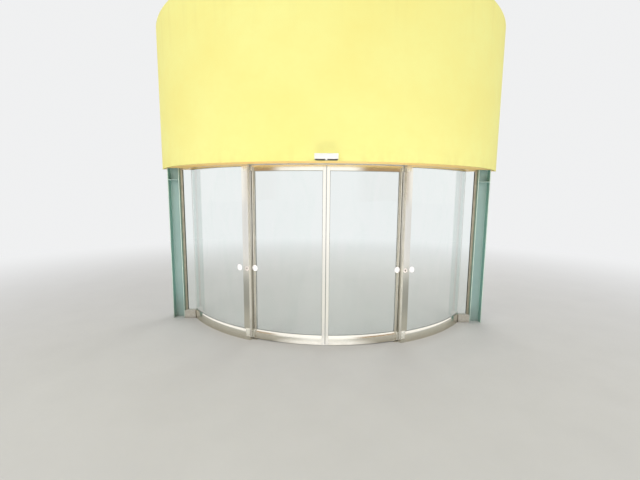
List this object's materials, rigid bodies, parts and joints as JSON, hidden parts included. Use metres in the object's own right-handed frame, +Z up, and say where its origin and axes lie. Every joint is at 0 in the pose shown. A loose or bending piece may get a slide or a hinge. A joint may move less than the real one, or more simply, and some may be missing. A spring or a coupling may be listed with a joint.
{
  "type": "curved automatic sliding door with drum fascia",
  "caption": "Curved bi-parting automatic glass sliding door with fixed curved sidelights, steel posts and a deep painted drum fascia with a motion sensor.",
  "frame": {"origin": "on the floor, at the middle of the bounding box in plan; the centre of the curve lies 1.7235 m behind it along +Y", "axes": "+Z up, -Y out of the entrance towards the street side of the curve, +X to the right as seen from outside"},
  "size_m": [4.3744, 1.447, 3.7],
  "materials": {
    "yellow_render": "fine painted render",
    "lining_board": "matt board",
    "green_steel": "satin paint",
    "stainless": "hairline",
    "polished_steel": "bright",
    "clear_glass": "clear",
    "block_stone": "honed",
    "dark_trim": "satin",
    "sensor_white": "gloss",
    "sensor_dark": "gloss"
  },
  "bodies": {
    "frame": {"fascia_skin": "yellow_render", "fascia_lining": "lining_board", "fascia_soffit": "yellow_render", "fascia_coping": "lining_board", "fascia_end_left": "yellow_render", "fascia_end_right": "yellow_render", "ring_beam": "green_steel", "header_case": "stainless", "header_cover": "stainless", "track_rail": "polished_steel", "post_left": "green_steel", "post_right": "green_steel", "base_block_left": "block_stone", "base_block_right": "block_stone", "jamb_channel_left": "dark_trim", "jamb_channel_right": "dark_trim", "infill_glass_left": "clear_glass", "infill_glass_right": "clear_glass", "sidelight_glass_left": "clear_glass", "sidelight_glass_right": "clear_glass", "sidelight_stile_left": "stainless", "sidelight_stile_right": "stainless", "sidelight_base_rail_left": "stainless", "sidelight_base_rail_right": "stainless", "sidelight_head_channel_left": "stainless", "sidelight_head_channel_right": "stainless", "floor_guide_left": "stainless", "floor_guide_right": "stainless", "sensor_housing": "sensor_white", "sensor_lens": "sensor_dark"},
    "leaf_right": {"leaf_glass_right": "clear_glass", "leaf_meeting_stile_right": "stainless", "leaf_rear_stile_right": "stainless", "leaf_top_rail_right": "stainless", "leaf_bottom_rail_right": "stainless", "leaf_hangers_right": "polished_steel"},
    "leaf_left": {"leaf_glass_left": "clear_glass", "leaf_meeting_stile_left": "stainless", "leaf_rear_stile_left": "stainless", "leaf_top_rail_left": "stainless", "leaf_bottom_rail_left": "stainless", "leaf_hangers_left": "polished_steel"}
  },
  "joints": [
    {"name": "leaf_right_travel", "type": "hinge", "parent": "frame", "child": "leaf_right", "pos_m": [0, 1.7235, 0], "axis": [0, 0, 1], "range_deg": [0, 21.5]},
    {"name": "leaf_left_travel", "type": "hinge", "parent": "frame", "child": "leaf_left", "pos_m": [0, 1.7235, 0], "axis": [0, 0, -1], "range_deg": [0, 21.5]}
  ],
  "couplings": [
    {"joint": "leaf_left_travel", "follows": "leaf_right_travel", "ratio": 1}
  ]
}
